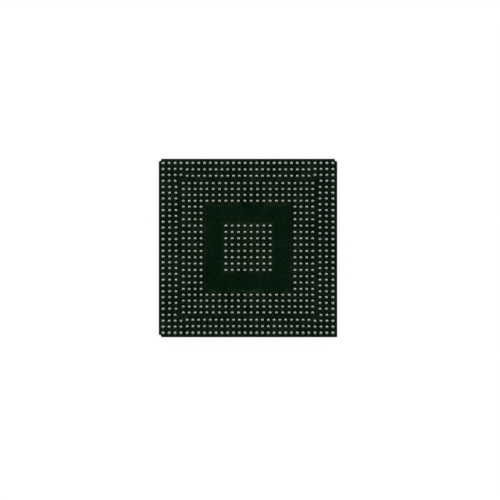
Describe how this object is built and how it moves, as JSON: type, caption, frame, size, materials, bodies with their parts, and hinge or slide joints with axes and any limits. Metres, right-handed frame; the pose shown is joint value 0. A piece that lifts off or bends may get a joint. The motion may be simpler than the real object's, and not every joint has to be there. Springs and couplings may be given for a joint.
{
  "type": "plastic ball grid array package",
  "caption": "Moulded chip package lying on its mould cap, a green laminate above it with its grid of solder balls facing up.",
  "frame": {"origin": "middle of the mould cap's flat face, on which the package lies", "axes": "+Z up from the cap to the tips of the balls; seen from above, +X to the right and +Y up, with the one corner that has no notch at +X, -Y"},
  "size_m": [0.031, 0.031, 0.0022],
  "materials": {
    "moulding_compound": "matte",
    "laminate_resin": "satin",
    "solder_mask": "satin",
    "gold_plated_copper": "satin",
    "solder": "satin",
    "copper": "satin",
    "die_adhesive": "satin",
    "silicon": "polished",
    "gold_wire": "polished"
  },
  "bodies": {
    "root": {"mould_cap": "moulding_compound", "laminate": "laminate_resin", "ball_side_mask": "solder_mask", "die_side_mask": "solder_mask", "corner_lands": "gold_plated_copper", "outer_ring_lands": "gold_plated_copper", "middle_ring_lands": "gold_plated_copper", "center_lands": "gold_plated_copper", "corner_balls": "solder", "outer_ring_balls": "solder", "middle_ring_balls": "solder", "center_balls": "solder", "thermal_vias": "copper", "die_pad": "gold_plated_copper", "ground_ring": "gold_plated_copper", "power_ring": "gold_plated_copper", "bond_fingers": "gold_plated_copper", "die_attach": "die_adhesive", "silicon_die": "silicon", "signal_wires": "gold_wire", "ground_wires": "gold_wire", "power_wires": "gold_wire", "mould_gate_land": "gold_plated_copper"}
  },
  "joints": []
}
